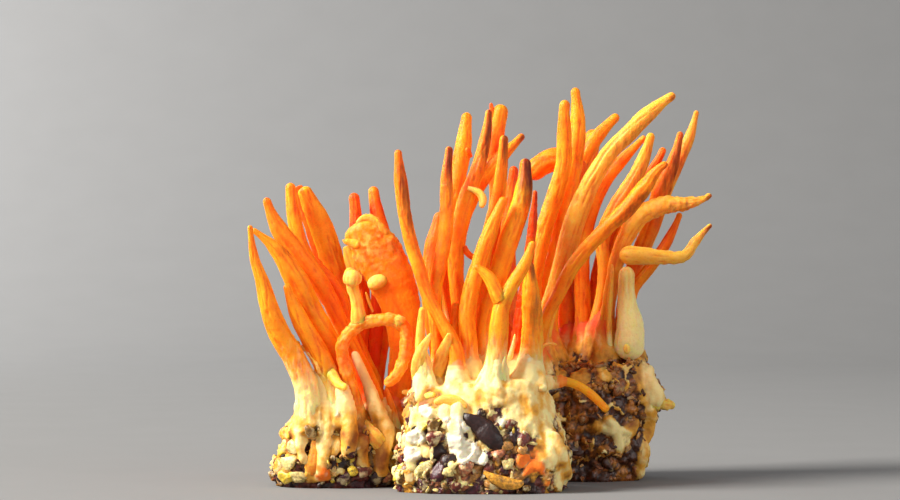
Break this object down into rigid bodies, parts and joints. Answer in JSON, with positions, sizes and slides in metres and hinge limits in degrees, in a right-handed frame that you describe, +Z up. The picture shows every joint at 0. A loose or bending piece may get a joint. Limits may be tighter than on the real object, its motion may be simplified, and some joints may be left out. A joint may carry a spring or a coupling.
{
  "type": "cordyceps bunch",
  "caption": "Cultivated cordyceps bunch: slender orange club-shaped stalks growing from torn lumps of grown-through grain that stand on their flat cut undersides",
  "frame": {"origin": "under the middle of the bunch's box, on the plane that the lumps stand on", "axes": "+X to the viewer's right along the row of lumps, +Y away from the viewer, +Z up out of the cut"},
  "size_m": [0.1166, 0.0674, 0.1011],
  "materials": {
    "orange_flesh": "damp, finely granular",
    "deep_orange_flesh": "damp, finely granular",
    "pale_orange_flesh": "damp, finely granular",
    "yellow_flesh": "damp, smooth",
    "grown_grain": "rough, crumbly",
    "dark_grown_grain": "rough, crumbly"
  },
  "bodies": {
    "root": {"left_outer_stalk": "orange_flesh", "left_outer_short_stalk": "orange_flesh", "left_leaning_stalk": "orange_flesh", "left_slim_tip_stalk": "orange_flesh", "left_ridge_stalk": "orange_flesh", "left_tall_stalk": "orange_flesh", "left_folded_blade": "orange_flesh", "left_back_tip": "deep_orange_flesh", "left_back_tall_tip": "deep_orange_flesh", "left_fan": "orange_flesh", "left_hook": "pale_orange_flesh", "left_knob_stalk": "yellow_flesh", "left_drooping_stub": "yellow_flesh", "left_inner_stalk": "deep_orange_flesh", "middle_lone_stalk": "orange_flesh", "middle_lone_leg": "yellow_flesh", "middle_left_stalk": "orange_flesh", "middle_left_back_stalk": "deep_orange_flesh", "middle_back_stalk": "orange_flesh", "middle_tall_stalk": "orange_flesh", "middle_flat_top_stalk": "deep_orange_flesh", "middle_side_tip_stalk": "orange_flesh", "middle_upright_stalk": "orange_flesh", "middle_inner_stalk": "pale_orange_flesh", "middle_brown_tip_stalk": "orange_flesh", "middle_wrinkled_stalk": "deep_orange_flesh", "middle_fork_stem": "pale_orange_flesh", "middle_fork_prong": "pale_orange_flesh", "middle_thick_stalk": "orange_flesh", "middle_short_stalk": "orange_flesh", "middle_back_right_stalk": "deep_orange_flesh", "middle_loose_curl": "pale_orange_flesh", "right_tallest_twin": "orange_flesh", "right_tallest_stalk": "orange_flesh", "right_arch": "deep_orange_flesh", "right_curved_stalk": "orange_flesh", "right_back_hump": "deep_orange_flesh", "right_long_stalk": "orange_flesh", "right_upper_stalk": "orange_flesh", "right_upper_thin_stalk": "deep_orange_flesh", "right_front_stalk": "orange_flesh", "right_back_tip": "deep_orange_flesh", "right_brown_stalk": "deep_orange_flesh", "right_far_stalk": "orange_flesh", "right_level_stalk": "orange_flesh", "right_slim_stalk": "orange_flesh", "right_pale_stem": "yellow_flesh", "right_level_club": "yellow_flesh", "right_side_stalk": "orange_flesh", "middle_lump": "grown_grain", "left_lump": "grown_grain", "right_lump": "dark_grown_grain"}
  },
  "joints": []
}
